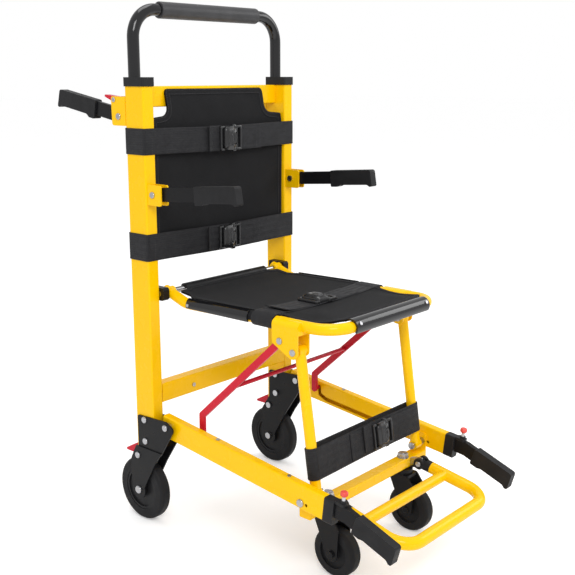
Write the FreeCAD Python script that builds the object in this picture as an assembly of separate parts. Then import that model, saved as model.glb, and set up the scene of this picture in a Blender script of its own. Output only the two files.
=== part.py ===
import FreeCAD, Part
import math
import os

# Stair chair, in millimetres.  X runs across the chair (+X is the sitter's left),
# Y runs from front to back, Z is up.  While modelling, y = 0 is the front face of the
# back posts, z = 0 is the floor and x = 0 is the plane of symmetry.

V = FreeCAD.Vector
UP_X = V(1, 0, 0)

# Each piece is saved this much further back, so that the origin is below the middle of
# the whole chair, from its carry handles to its rear handles.
CENTRE_SHIFT = 146.746

# --- fits -------------------------------------------------------------------------
FIT = 0.05              # radial play of a pin that turns in its bore
SLACK = 0.3             # gap between two bodies that pass each other

# --- back frame -------------------------------------------------------------------
FRAME_HALF = 200.0      # outer faces of the posts
POST_W, POST_D, POST_WALL = 25.0, 50.0, 1.5
POST_BOTTOM, POST_TOP = 152.0, 834.0
POST_IN = FRAME_HALF - POST_W
POST_X = FRAME_HALF - POST_W / 2
CAP_TOP = 850.0
BAR_WALL = 1.5
UPPER_BAR_Z = (797.0, 834.0)
LOWER_BAR_Z = (244.0, 281.0)
STRAP_T = 2.5           # webbing drawn as one thick loop
UPPER_STRAP_Z = (714.0, 761.0)
LOWER_STRAP_Z = (521.0, 571.0)
BUCKLES = ((10.0, 737.5), (4.0, 546.0))
PANEL_BOTTOM, PANEL_SHOULDER, PANEL_TOP = 524.0, 778.0, 829.0

# --- push handle ------------------------------------------------------------------
PUSH_Y = 36.0
PUSH_R, PUSH_WALL = 10.9, 2.0
PUSH_TOP, PUSH_BOTTOM = 968.0, 640.0
PUSH_BEND = 50.0
GRIP_R, GRIP_HALF = 15.0, 127.0

# --- seat -------------------------------------------------------------------------
SEAT_PIVOT = (2.0, 457.0)       # y, z of the hinge rod
ROD_R = 5.5
SIDE_X = 150.0                  # centre lines of the side tubes and of the legs
SEAT_TUBE_R, TUBE_WALL = 10.0, 1.5
SEAT_REAR = (-45.0, 441.0)
SEAT_FRONT = (-395.0, 449.0)
SEAT_CORNER = 46.0
GUSSET_Y = (-332.0, -275.0)
GUSSET_X = (137.0, 140.0, 166.0, 169.0)
SIDE_RAIL_Y = (-212.0, -58.0)
BELT_Y = (-270.0, -220.0)
BELT_LIFT = 3.5                 # underside of the belt above the tube

# --- base, legs and braces --------------------------------------------------------
RAIL_PIVOT = (-36.0, 209.0)
LEG_FOOT = (-360.0, 157.0)
LEG_TOP = (LEG_FOOT[0] + SEAT_PIVOT[0] - RAIL_PIVOT[0],
           LEG_FOOT[1] + SEAT_PIVOT[1] - RAIL_PIVOT[1])
LEG_R = 9.5
RAIL_SLOPE = 6.55               # degrees, down towards the front
RAIL_TOP_AT_0 = 230.4
RAIL_X = (175.5, 192.5)
RAIL_H, RAIL_WALL = 43.0, 2.0
RAIL_Y = (-414.0, -20.0)        # along the rail, before it is sloped
CAP_LONG = 20.0
SLOT_PATH = ((-98.0, 207.5), (-100.0, 192.0), (-117.0, 184.0), (-285.0, 165.0))
SLOT_W = 9.0
LINK_X = (160.3, 165.3)
LINK_W = 13.0
LINK_PATH = ((-293.0, 420.0), (-96.0, 239.0), (-96.0, 207.0))
CROSSROD = (-174.0, 310.3)
FRONT_BAR_Y, FRONT_BAR_Z = (-368.5, -343.5), (121.0, 140.5)

# --- wheels -----------------------------------------------------------------------
REAR_R, REAR_AXLE = 62.5, (44.0, 62.5)
REAR_X = (176.5, 200.5)
REAR_HUB_R = 42.0
PLATE_T = 3.0
JOGGLE = 2.5
CASTER_R, CASTER_W = 44.5, 26.0
CASTER_X, SWIVEL_Y = 114.0, -356.0
CASTER_AXLE = (-378.0, 44.5)

# --- handles ----------------------------------------------------------------------
ARM_PIVOT, ARM_X = (-14.0, 644.0), 187.0
ARM_RISE = 4.5
REAR_PIVOT, REAR_RISE = (69.0, 780.5), 9.8
LATCH_PIVOT = (81.0, 810.0)
CARRY_X = 184.0
PIN_Y, PIN_Z = -443.0, 176.0    # where the pull pin meets the top of the carry bar
CARRY_DROOP = 14.0
CARRY_H, CARRY_INNER_H = 26.0, 22.0

# --- footrest ---------------------------------------------------------------------
FOOT_PIVOT = (-392.0, 136.0)
FOOT_R, FOOT_X = 11.0, 124.0
FOOT_FRONT_X = 131.0            # the sides spread towards the front
FOOT_SLOPE = 11.7
FOOT_FRONT, FOOT_CROSS = -532.0, -443.0
FOOT_BEND = 40.0


# --- building blocks ----------------------------------------------------------------
def box(x, y, z):
    return Part.makeBox(x[1] - x[0], y[1] - y[0], z[1] - z[0], V(x[0], y[0], z[0]))


def rod(start, end, radius):
    """Round bar between two points."""
    axis = V(*end) - V(*start)
    return Part.makeCylinder(radius, axis.Length, V(*start), axis)


def rod_x(x, spot, radius):
    """Round bar along X from x[0] to x[1], centred on spot = (y, z)."""
    return rod((x[0],) + tuple(spot), (x[1],) + tuple(spot), radius)


def fuse(shapes):
    whole = shapes[0]
    for shape in shapes[1:]:
        whole = whole.fuse(shape)
    return whole.removeSplitter()


def rounded_wire(points, radii, closed):
    """Straight runs through points, joined by tangent arcs of the given radii."""
    count = len(points)
    stops = []
    for i, here in enumerate(points):
        inside = closed or 0 < i < count - 1
        if not inside or radii[i] == 0:
            stops.append((here, here, here))
            continue
        back = (points[i - 1] - here).normalize()
        ahead = (points[(i + 1) % count] - here).normalize()
        half = back.getAngle(ahead) / 2
        middle = (back + ahead).normalize()
        reach = radii[i] / math.tan(half)
        centre = here + middle * (radii[i] / math.sin(half))
        stops.append((here + back * reach, centre - middle * radii[i], here + ahead * reach))
    edges = []
    for i, (start, bulge, end) in enumerate(stops):
        if (end - start).Length > 1e-6:
            edges.append(Part.Arc(start, bulge, end).toShape())
        if i < count - 1 or closed:
            following = stops[(i + 1) % count][0]
            if (following - end).Length > 1e-6:
                edges.append(Part.makeLine(end, following))
    return Part.Wire(edges)


def prism(axis, corners, start, end):
    """Outline with corners (a, b, radius), pushed along axis from start to end.

    (a, b) is (y, z) for axis x, (x, z) for axis y and (x, y) for axis z.
    """
    place = {"x": lambda a, b, c: V(c, a, b),
             "y": lambda a, b, c: V(a, c, b),
             "z": lambda a, b, c: V(a, b, c)}[axis]
    points = [place(a, b, start) for a, b, radius in corners]
    radii = [radius for a, b, radius in corners]
    face = Part.Face(rounded_wire(points, radii, True))
    return face.extrude(place(0, 0, end - start))


def rounded_bar(axis, a, b, radius, start, end):
    """Rectangular bar with rounded edges along axis."""
    corners = [(a[0], b[0], radius), (a[1], b[0], radius),
               (a[1], b[1], radius), (a[0], b[1], radius)]
    return prism(axis, corners, start, end)


def box_tube(axis, a, b, radius, wall, start, end):
    """Rectangular tube along axis."""
    inner_a = (a[0] + wall, a[1] - wall)
    inner_b = (b[0] + wall, b[1] - wall)
    outer = rounded_bar(axis, a, b, radius, start, end)
    return outer.cut(rounded_bar(axis, inner_a, inner_b, radius - wall / 2, start, end))


def pipe(points, bend, radius):
    """Round bar bent through points with one bend radius."""
    path = [V(*point) for point in points]
    spine = rounded_wire(path, [bend] * len(path), False)
    ring = Part.Wire(Part.makeCircle(radius, path[0], path[1] - path[0]))
    return spine.makePipeShell([ring], True, False)


def strip(points, x, width):
    """Flat bar in a YZ plane: round-ended lengths of one width through points."""
    lengths = []
    for start, end in zip(points, points[1:]):
        run = V(0, end[0] - start[0], end[1] - start[1])
        across = V(0, -run.z, run.y).normalize() * (width / 2)
        first, last = V(x[0], *start), V(x[0], *end)
        corners = [first + across, last + across, last - across, first - across]
        face = Part.Face(Part.makePolygon(corners + corners[:1]))
        lengths.append(face.extrude(V(x[1] - x[0], 0, 0)))
        lengths.append(rod_x(x, start, width / 2))
    lengths.append(rod_x(x, points[-1], width / 2))
    return fuse(lengths)


def mirrored(shape):
    """The same piece on the sitter's right."""
    return shape.mirror(V(0, 0, 0), UP_X)


def both(shape):
    """A pair of separate solids, one on each side."""
    return [shape, mirrored(shape)]


def turned(shape, spot, degrees):
    """Turned about the X line through spot = (y, z); plus lifts the rear end."""
    copy = shape.copy()
    copy.rotate(V(0, *spot), UP_X, degrees)
    return copy


def along_rail(shape):
    """Lays a level piece onto the slope of the base rails."""
    return turned(shape, (0.0, RAIL_TOP_AT_0), RAIL_SLOPE)


def bolt_x(head, end, spot, radius, head_radius):
    """Pan-head bolt along X: head outside x = head, shank to x = end."""
    way = math.copysign(1.0, end - head)
    top = V(head - way * head_radius * 0.5, *spot)
    cap = Part.makeCylinder(head_radius, head_radius * 0.5, top, V(way, 0, 0))
    outer_edge = [edge for edge in cap.Edges
                  if edge.Closed and abs(edge.CenterOfMass.x - top.x) < 0.01]
    cap = cap.makeFillet(head_radius * 0.3, outer_edge)
    return cap.fuse(rod_x((head, end), spot, radius))


def flat_bolt(spot, along, radius, head_radius, length):
    """Screw whose head rests at spot; the shank points along."""
    way = V(*along).normalize()
    seat = V(*spot)
    head = Part.makeCylinder(head_radius, head_radius * 0.5, seat - way * (head_radius * 0.5), way)
    return head.fuse(Part.makeCylinder(radius, length, seat, way))


def cut_all(shape, tools):
    for tool in tools:
        shape = shape.cut(tool)
    return shape


# --- back frame -------------------------------------------------------------------
FRAME_BOLTS_X = ((-36.0, 209.0), (23.0, 211.0), (22.0, 168.0), (43.0, 135.0))


def posts():
    post = box_tube("z", (POST_IN, FRAME_HALF), (0, POST_D), 3.0, POST_WALL, POST_BOTTOM, POST_TOP)
    return cut_all(post, [rod_x((160, 210), spot, 4.0) for spot in FRAME_BOLTS_X])


def crossbar(y, z):
    return box_tube("x", y, z, 2.5, BAR_WALL, -POST_IN, POST_IN)


def lower_crossbar():
    bar = crossbar((0, 25), LOWER_BAR_Z)
    return bar.cut(rod((-95, -1, 260), (-95, 4, 260), 2.0))


def post_cap():
    """Plastic cap on the post: a lip over its top, a plug inside and a guide bore."""
    lip = rounded_bar("z", (POST_IN - 2, FRAME_HALF + 2), (-2, POST_D + 2), 4.0, POST_TOP, CAP_TOP)
    plug = rounded_bar("z", (POST_IN + POST_WALL, FRAME_HALF - POST_WALL),
                       (POST_WALL, POST_D - POST_WALL), 2.25, POST_TOP - 16, POST_TOP)
    bore = rod((POST_X, PUSH_Y, POST_TOP - 30), (POST_X, PUSH_Y, CAP_TOP + 5), PUSH_R + FIT)
    return lip.fuse(plug).removeSplitter().cut(bore)


def back_panel():
    """Fabric panel: full width below the shoulders, a narrower flap above them."""
    half, flap = POST_IN - 0.5, 130.0
    outline = prism("y", [(-half, PANEL_BOTTOM, 4), (half, PANEL_BOTTOM, 4),
                          (half, PANEL_SHOULDER, 3), (flap, PANEL_SHOULDER + 3, 14),
                          (flap, PANEL_TOP, 8), (-flap, PANEL_TOP, 8),
                          (-flap, PANEL_SHOULDER + 3, 14), (-half, PANEL_SHOULDER, 3)], -5, 30)
    slab = prism("x", [(6, PANEL_BOTTOM, 0), (10, PANEL_BOTTOM, 0), (10, PANEL_SHOULDER - 30, 60),
                       (24, PANEL_TOP, 0), (20, PANEL_TOP, 0), (6, PANEL_SHOULDER - 30, 60)],
                 -half, half)
    return outline.common(slab)


def chest_straps():
    """Two loops of webbing that run round both posts."""
    return [chest_strap(UPPER_STRAP_Z), chest_strap(LOWER_STRAP_Z)]


def chest_strap(z):
    outer = rounded_bar("z", (-FRAME_HALF - STRAP_T, FRAME_HALF + STRAP_T),
                        (-STRAP_T, POST_D + STRAP_T), 4.0, z[0], z[1])
    return outer.cut(rounded_bar("z", (-FRAME_HALF, FRAME_HALF), (0, POST_D), 3.0, z[0], z[1]))


def buckle(x, y, z, depth):
    """Side-release buckle in a XZ plane: body with a plug end and a strap bar."""
    body = rounded_bar("y", (x - 34, x + 14), (z - 27, z + 27), 8.0, y - depth, y)
    plug = rounded_bar("y", (x + 14.2, x + 36), (z - 23, z + 23), 4.0, y - depth + 2, y)
    slot = rounded_bar("y", (x + 24, x + 30), (z - 19, z + 19), 2.0, y - depth - 1, y + 1)
    return [body, plug.cut(slot)]


def chest_buckles():
    solids = []
    for x, z in BUCKLES:
        solids += buckle(x, -STRAP_T, z, 11.0)
    return solids


def wheel_plates():
    """Outer and inner steel cheeks that carry each rear wheel and the rail pivot."""
    upper = [(43, 217, 4), (-37, 221, 6), (-60, 210, 7), (-43, 184, 10), (-20, 148, 0), (43, 148, 0)]
    lower = [(43, 154, 0), (-24, 154, 0), (-4.5, 126, 14), (26, 72.5, 8), (44, 47, 0),
             (62, 64.5, 8), (65, 99, 8), (64, 124, 8), (48, 154, 0)]
    whole = [(43, 217, 4), (-37, 221, 6), (-60, 210, 7), (-43, 184, 10), (-4.5, 126, 14),
             (26, 72.5, 8), (44, 47, 0), (62, 64.5, 8), (65, 99, 8), (64, 124, 8), (43, 156, 6)]
    outer = (FRAME_HALF, FRAME_HALF + PLATE_T)
    low = (outer[0] + JOGGLE, outer[1] + JOGGLE)
    inner = (POST_IN - PLATE_T, POST_IN)
    joggle = prism("x", [(43, 148, 0), (-20, 148, 0), (-24, 154, 0), (43, 154, 0)], outer[0], low[1])
    cheek = fuse([prism("x", upper, *outer), joggle, prism("x", lower, *low),
                  rod_x(low, REAR_AXLE, 18.0)])
    twin = fuse([prism("x", whole, *inner), rod_x(inner, REAR_AXLE, 18.0)])
    holes = [rod_x((160, 220), spot, 4.0) for spot in FRAME_BOLTS_X + (REAR_AXLE,)]
    return both(cut_all(cheek, holes)) + both(cut_all(twin, holes))


def seat_brackets():
    """Black knuckles on the inner faces of the posts that hold the seat rod."""
    y, z = SEAT_PIVOT
    block = prism("x", [(y - 13, z + 11, 5), (y - 13, z - 13, 6), (y + 30, z - 13, 3),
                        (y + 30, z + 11, 3)], 161.0, POST_IN)
    return both(block.cut(rod_x((150, 180), SEAT_PIVOT, ROD_R)))


def arm_brackets():
    """Yellow clevis welded to the front of each post: a web and two cheeks."""
    y, z = ARM_PIVOT
    z_range = (z - 19, z + 18)
    web = box((178, 197), (-3, 0), z_range)
    cheek = prism("x", [(0, z_range[0], 0), (-36, z_range[0], 4), (-36, z_range[1], 4),
                        (0, z_range[1], 0)], 178, 181)
    shape = fuse([web, cheek, cheek.translated(V(16, 0, 0))])
    return both(shape.cut(rod_x((170, 200), ARM_PIVOT, 4.0)))


def rear_handle_brackets():
    """Yellow U bracket behind each post: a web and two cheeks."""
    web = box((POST_IN, FRAME_HALF), (POST_D, POST_D + PLATE_T), (764, 816))
    cheek = prism("x", [(POST_D, 764, 0), (88, 764, 5), (89, 816, 4), (POST_D, 816, 0)],
                  POST_IN, POST_IN + PLATE_T)
    shape = fuse([web, cheek, cheek.translated(V(POST_W - PLATE_T, 0, 0))])
    holes = [rod_x((170, 205), REAR_PIVOT, 4.0), rod_x((170, 205), LATCH_PIVOT, 2.5)]
    return both(cut_all(shape, holes))


def frame_bolts():
    """Bolts, washers, spacers and the rear axles that stay on the back frame."""
    outer, inner = FRAME_HALF + PLATE_T, POST_IN - PLATE_T
    solids = []
    for spot in FRAME_BOLTS_X:
        face = outer + (JOGGLE if spot[1] < 150 else 0)
        solids.append(bolt_x(face, inner, spot, 4.0, 6.5))
        solids.append(rod_x((inner - 4, inner), spot, 6.5))
    axle = bolt_x(outer + JOGGLE, inner, REAR_AXLE, 4.0, 8.0)
    solids += [axle, rod_x((inner - 5, inner), REAR_AXLE, 7.0)]
    spacer = rod_x((RAIL_X[1] + 0.1, FRAME_HALF), RAIL_PIVOT, 8.0)
    solids.append(spacer.cut(rod_x((180, 210), RAIL_PIVOT, 4.0)))
    solids.append(bolt_x(197, 178, ARM_PIVOT, 4.0, 6.0))
    solids.append(rod_x((175, 178), ARM_PIVOT, 6.0))
    solids.append(bolt_x(FRAME_HALF, POST_IN, REAR_PIVOT, 4.0, 6.0))
    solids.append(rod_x((POST_IN - 4, POST_IN), REAR_PIVOT, 6.0))
    solids.append(bolt_x(FRAME_HALF, POST_IN, LATCH_PIVOT, 2.5, 4.5))
    pairs = []
    for solid in solids:
        pairs += both(solid)
    pairs.append(flat_bolt((-95, 0, 260), (0, 1, 0), 2.0, 4.0, 4.0))
    return pairs


def seat_rod():
    return rod_x((-POST_IN, POST_IN), SEAT_PIVOT, ROD_R)


# --- push handle --------------------------------------------------------------------
def handle_tube():
    path = [(-POST_X, PUSH_Y, PUSH_BOTTOM), (-POST_X, PUSH_Y, PUSH_TOP),
            (POST_X, PUSH_Y, PUSH_TOP), (POST_X, PUSH_Y, PUSH_BOTTOM)]
    return pipe(path, PUSH_BEND, PUSH_R).cut(pipe(path, PUSH_BEND, PUSH_R - PUSH_WALL))


def handle_grip():
    sleeve = rod_x((-GRIP_HALF, GRIP_HALF), (PUSH_Y, PUSH_TOP), GRIP_R)
    sleeve = sleeve.makeFillet(2.0, [edge for edge in sleeve.Edges if edge.Closed])
    return sleeve.cut(rod_x((-GRIP_HALF - 1, GRIP_HALF + 1), (PUSH_Y, PUSH_TOP), PUSH_R))


# --- wheels -------------------------------------------------------------------------
def ring_x(x, spot, outer, inner, edge):
    """Ring about an X line with rounded outer edges."""
    half = (x[1] - x[0]) / 2
    face = Part.Face(rounded_wire([V(x[0], spot[0], spot[1] + inner),
                                   V(x[1], spot[0], spot[1] + inner),
                                   V(x[1], spot[0], spot[1] + outer),
                                   V(x[0], spot[0], spot[1] + outer)],
                                  [0, 0, min(edge, half - 0.1), min(edge, half - 0.1)], True))
    return face.revolve(V(0, *spot), UP_X, 360)


def rear_tyre():
    return ring_x(REAR_X, REAR_AXLE, REAR_R, REAR_HUB_R, 7.0)


def rear_hub():
    """Wheel centre: rim, sunken web and a boss that runs on the axle bolt."""
    middle = sum(REAR_X) / 2
    rim = ring_x((REAR_X[0] + 1, REAR_X[1] - 1), REAR_AXLE, REAR_HUB_R, REAR_HUB_R - 5, 0.5)
    web = ring_x((middle - 8, middle + 8), REAR_AXLE, REAR_HUB_R - 4, 10.0, 0.0)
    boss = ring_x(REAR_X, REAR_AXLE, 11.0, 4.0 + FIT, 1.0)
    return fuse([rim, web, boss])


def lock_lever():
    """Wheel brake: a pedal behind the wheel and a toe that presses on the tread."""
    pivot = (43.0, 135.0)
    toe_angle = math.radians(20)
    toe = (pivot[0] + 6.2 * math.sin(toe_angle), pivot[1] - 6.2 * math.cos(toe_angle))
    x = (182.0, 195.0)
    pedal = prism("x", [(40, 142, 5), (58, 153, 6), (97, 131, 2.5), (60, 131, 8), (46, 130.5, 3)], *x)
    body = fuse([pedal, rod_x(x, pivot, 8.0), rod_x(x, toe, 3.4)])
    return body.cut(rod_x((180, 200), pivot, 4.0 + FIT))


def caster_wheel():
    """Solid caster wheel with a tread, a sunken web and a boss."""
    x = (CASTER_X - CASTER_W / 2, CASTER_X + CASTER_W / 2)
    tread = ring_x(x, CASTER_AXLE, CASTER_R, 28.0, 7.0)
    web = ring_x((CASTER_X - 9, CASTER_X + 9), CASTER_AXLE, 29.0, 9.0, 0.0)
    boss = ring_x(x, CASTER_AXLE, 10.0, 4.0 + FIT, 1.0)
    return fuse([tread, web, boss])


def caster_fork():
    """Swivel fork: crown with a bearing cup, two arms and the axle bolt."""
    gap = CASTER_W / 2 + 2
    leg = 3.0
    side = [(-336, 112, 6), (-378, 112, 6), (-393, 92, 12), (-391, 44, 0), (-365, 44, 0),
            (-352, 76, 20)]
    arm = prism("x", side, CASTER_X + gap, CASTER_X + gap + leg)
    arm = fuse([arm, rod_x((CASTER_X + gap, CASTER_X + gap + leg), CASTER_AXLE, 13.0)])
    crown = rounded_bar("z", (CASTER_X - gap - leg, CASTER_X + gap + leg), (-379, -335), 6.0, 106, 112)
    cup = rod((CASTER_X, SWIVEL_Y, 111), (CASTER_X, SWIVEL_Y, 120.7), 20.0)
    fork = fuse([crown, cup, arm, arm.translated(V(-2 * gap - leg, 0, 0))])
    fork = fork.cut(rod((CASTER_X, SWIVEL_Y, 100), (CASTER_X, SWIVEL_Y, 125), 6.0 + FIT))
    fork = fork.cut(rod_x((CASTER_X - 25, CASTER_X + 25), CASTER_AXLE, 4.0))
    axle = bolt_x(CASTER_X - gap - leg, CASTER_X + gap + leg, CASTER_AXLE, 4.0, 6.5)
    nut = rod_x((CASTER_X + gap + leg, CASTER_X + gap + leg + 4), CASTER_AXLE, 6.5)
    return [fork, axle, nut]


# --- base -----------------------------------------------------------------------------
def rail():
    """Base rail: a tube with its pivot bores, the brace slot and two screw holes."""
    top = RAIL_TOP_AT_0
    shape = along_rail(box_tube("y", RAIL_X, (top - RAIL_H, top), 3.0, RAIL_WALL, *RAIL_Y))
    slot = strip(SLOT_PATH, (170.0, RAIL_X[0] + RAIL_WALL + 2), SLOT_W)
    holes = [slot, rod_x((170, 200), RAIL_PIVOT, 4.0 + FIT), rod_x((170, 200), LEG_FOOT, 4.0),
             rod_x((170, 200), (-372, 156), 3.0)]
    for y in (-158.0, -330.0):
        holes.append(along_rail(rod((CARRY_X, y, top - 5), (CARRY_X, y, top + 5), 2.0)))
    return cut_all(shape, holes)


def front_crossbar():
    """Tube under the rails with an upright end plate welded inside each rail."""
    bar = box_tube("x", FRONT_BAR_Y, FRONT_BAR_Z, 3.0, BAR_WALL, -172.5, 172.5)
    plate = prism("x", [(FRONT_BAR_Y[0], FRONT_BAR_Z[0], 2), (FRONT_BAR_Y[1], FRONT_BAR_Z[0], 2),
                        (FRONT_BAR_Y[1], 174, 8), (FRONT_BAR_Y[0], 174, 8)], 172.5, RAIL_X[0])
    plate = plate.cut(rod_x((170, 180), LEG_FOOT, 4.0))
    shape = fuse([bar, plate, mirrored(plate)])
    holes = []
    for side in (-1, 1):
        x = side * CASTER_X
        holes.append(rod((x, SWIVEL_Y, 110), (x, SWIVEL_Y, 150), 6.0))
        x = side * FOOT_X
        holes.append(rod((x, -372, 131), (x, -364, 131), 3.0))
    return cut_all(shape, holes)


def rail_caps():
    """Black plastic end of each rail, with the guide slot of the carry bar."""
    top = RAIL_TOP_AT_0
    y_end = RAIL_Y[0]
    block = rounded_bar("y", (RAIL_X[0] - 0.5, RAIL_X[1] + 0.5), (top - RAIL_H - 0.5, top + 0.5),
                        3.0, y_end - CAP_LONG, y_end)
    z = carry_top_level()
    slot = box((CARRY_X - 5.1, CARRY_X + 5.1), (y_end - CAP_LONG - 1, y_end + 1),
               (z - CARRY_INNER_H - 0.1, z + 0.1))
    shape = along_rail(block.cut(slot))
    housing = pin_housing()
    return both(shape.fuse(housing).removeSplitter())


def pin_y_level():
    """Y of the pull pin before the rail is sloped."""
    slope = math.radians(RAIL_SLOPE)
    return PIN_Y * math.cos(slope) + (PIN_Z - RAIL_TOP_AT_0) * math.sin(slope)


def carry_top_level():
    """Height of the top of the carry bar before the rail is sloped."""
    slope = math.radians(RAIL_SLOPE)
    return RAIL_TOP_AT_0 - PIN_Y * math.sin(slope) + (PIN_Z - RAIL_TOP_AT_0) * math.cos(slope)


def pin_housing():
    """Ear in front of the cap that guides the pull pin over the carry bar."""
    y, z = pin_y_level(), carry_top_level()
    front = RAIL_Y[0] - CAP_LONG
    ear = rounded_bar("z", (CARRY_X - 7, CARRY_X + 7), (y - 7, front + 1), 3.0, z + 0.3, z + 5)
    neck = rod((CARRY_X, y, z + 4), (CARRY_X, y, z + 9), 5.5)
    bore = rod((CARRY_X, y, z), (CARRY_X, y, z + 10), 3.0 + FIT)
    return along_rail(ear.fuse(neck).cut(bore))


def pull_pin():
    """Spring plunger: steel shaft with a round red knob."""
    y, z = pin_y_level(), carry_top_level()
    shaft = rod((CARRY_X, y, z - 4), (CARRY_X, y, z + 20), 3.0)
    knob = rod((CARRY_X, y, z + 17), (CARRY_X, y, z + 25.5), 6.6)
    knob = knob.makeFillet(3.0, [edge for edge in knob.Edges if edge.Closed])
    return along_rail(fuse([shaft, knob]))


def carry_bar():
    """Flat bar that slides in the rail; it droops by a few degrees outside."""
    y, z = pin_y_level(), carry_top_level()
    x = (CARRY_X - 5, CARRY_X + 5)
    shoulder = RAIL_Y[0] - CAP_LONG - 1
    inside = box(x, (shoulder - 1, y + 170), (z - CARRY_INNER_H, z))
    middle = box(x, (y - 12, shoulder), (z - CARRY_H, z))
    outside = box(x, (y - 100, y - 12), (z - CARRY_H, z))
    outside.rotate(V(0, y - 12, z), UP_X, CARRY_DROOP)
    knee = rod_x(x, (y - 12, z - CARRY_H / 2), CARRY_H / 2 - 0.1)
    groove = box((CARRY_X - 3.1, CARRY_X + 3.1), (y - 3.2, y + 128), (z - 5, z + 1))
    return along_rail(fuse([inside, middle, outside, knee]).cut(groove))


def grip(pivot, start, end, rise, x, height, lip):
    """Flat moulded grip from y = start to y = end past pivot, built level and then raised.

    The lip stands below its inner end and the outer end is flared.
    """
    y0, z0 = pivot
    top, low = z0 + height / 2, z0 - height / 2
    way = math.copysign(1.0, end)
    inner, outer = y0 + start, y0 + end
    corners = [(inner, top, 3), (inner, low - lip, 3), (inner + way * 16, low - lip, 4),
               (inner + way * 24, low, 8), (outer - way * 12, low, 8),
               (outer - way * 6, low - 4, 3), (outer, low - 3, 3), (outer - way * 3, top, 5)]
    shape = prism("x", corners, *x)
    return turned(shape, pivot, way * rise)


def carry_grip():
    y, z = pin_y_level(), carry_top_level()
    pivot = (y - 12, z - CARRY_H / 2)
    shape = grip(pivot, -19.0, -104.0, -CARRY_DROOP, (CARRY_X - 8, CARRY_X + 8), 29.5, 3.0)
    return along_rail(shape).cut(carry_bar())


def base_bolts():
    """Leg pivots, their spacers, rail screws, caster kingpins and footrest bolts."""
    top = RAIL_TOP_AT_0
    solids = [bolt_x(RAIL_X[1], 139.0, LEG_FOOT, 4.0, 7.0)]
    solids.append(rod_x((135.0, 139.0), LEG_FOOT, 6.5))
    spacer = rod_x((SIDE_X + LEG_R + 0.1, 172.5), LEG_FOOT, 7.0)
    solids.append(spacer.cut(rod_x((150, 180), LEG_FOOT, 4.0)))
    for y in (-158.0, -330.0):
        solids.append(along_rail(flat_bolt((CARRY_X, y, top), (0, 0, -1), 2.0, 3.5, 3.0)))
    kingpin = rod((CASTER_X, SWIVEL_Y, 105.9), (CASTER_X, SWIVEL_Y, 150.5), 6.0)
    head = rod((CASTER_X, SWIVEL_Y, 100), (CASTER_X, SWIVEL_Y, 105.9), 9.0)
    solids.append(fuse([kingpin, head]))
    corners = [(CASTER_X + 10 * math.cos(k * math.pi / 3), SWIVEL_Y + 10 * math.sin(k * math.pi / 3), 0)
               for k in range(6)]
    nut = prism("z", corners, 142.0, 149.0)
    washer = rod((CASTER_X, SWIVEL_Y, FRONT_BAR_Z[1]), (CASTER_X, SWIVEL_Y, 142.0), 11.5)
    bore = rod((CASTER_X, SWIVEL_Y, 130), (CASTER_X, SWIVEL_Y, 155), 6.0)
    solids += [nut.cut(bore), washer.cut(bore)]
    pairs = []
    for solid in solids:
        pairs += both(solid)
    return pairs


# --- legs ---------------------------------------------------------------------------
def legs():
    """Two round legs with solid eyes for the pivot bolts."""
    foot, top = (SIDE_X,) + LEG_FOOT, (SIDE_X,) + LEG_TOP
    tube = rod(foot, top, LEG_R).cut(rod(foot, top, LEG_R - TUBE_WALL))
    eyes = [rod_x((SIDE_X - 9.3, SIDE_X + 9.3), spot, LEG_R - 0.3) for spot in (LEG_FOOT, LEG_TOP)]
    leg = fuse([tube] + eyes)
    bores = [rod_x((SIDE_X - 20, SIDE_X + 20), LEG_FOOT, 4.0 + FIT),
             rod_x((SIDE_X - 20, SIDE_X + 20), LEG_TOP, 4.0 + SLACK)]
    return both(cut_all(leg, bores))


def calf_strap():
    """Webbing loop round both legs."""
    tilt = math.degrees(math.atan2(LEG_TOP[0] - LEG_FOOT[0], LEG_TOP[1] - LEG_FOOT[1]))
    inner_r, outer_r = LEG_R, LEG_R + STRAP_T
    y, z0, z1 = LEG_FOOT[0], LEG_FOOT[1] + 27, LEG_FOOT[1] + 84

    def loop(radius):
        return rounded_bar("z", (-SIDE_X - radius, SIDE_X + radius), (y - radius, y + radius),
                           radius - 0.01, z0, z1)
    shape = loop(outer_r).cut(loop(inner_r))
    return turned(shape, LEG_FOOT, -tilt)


# --- footrest -------------------------------------------------------------------------
def foot_side(y):
    """Centre line of the footrest's left side at y."""
    share = (y - FOOT_PIVOT[0]) / (FOOT_FRONT - FOOT_PIVOT[0])
    return (FOOT_X + share * (FOOT_FRONT_X - FOOT_X), y,
            FOOT_PIVOT[1] + (y - FOOT_PIVOT[0]) * math.tan(math.radians(FOOT_SLOPE)))


def footrest_tube():
    """Bent tube loop with an inner cross tube and the hinge ends."""
    cross_r = FOOT_R - 1
    left = [foot_side(FOOT_PIVOT[0] - 22), foot_side(FOOT_FRONT)]
    path = [(-x, y, z) for x, y, z in left] + left[::-1]
    cross_x, *cross_spot = foot_side(FOOT_CROSS)
    loop = pipe(path, FOOT_BEND, FOOT_R)
    cross = rod_x((-cross_x, cross_x), cross_spot, cross_r)
    bores = [pipe(path, FOOT_BEND, FOOT_R - TUBE_WALL),
             rod_x((-cross_x, cross_x), cross_spot, cross_r - TUBE_WALL)]
    return cut_all(fuse([loop, cross]), bores)


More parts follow.
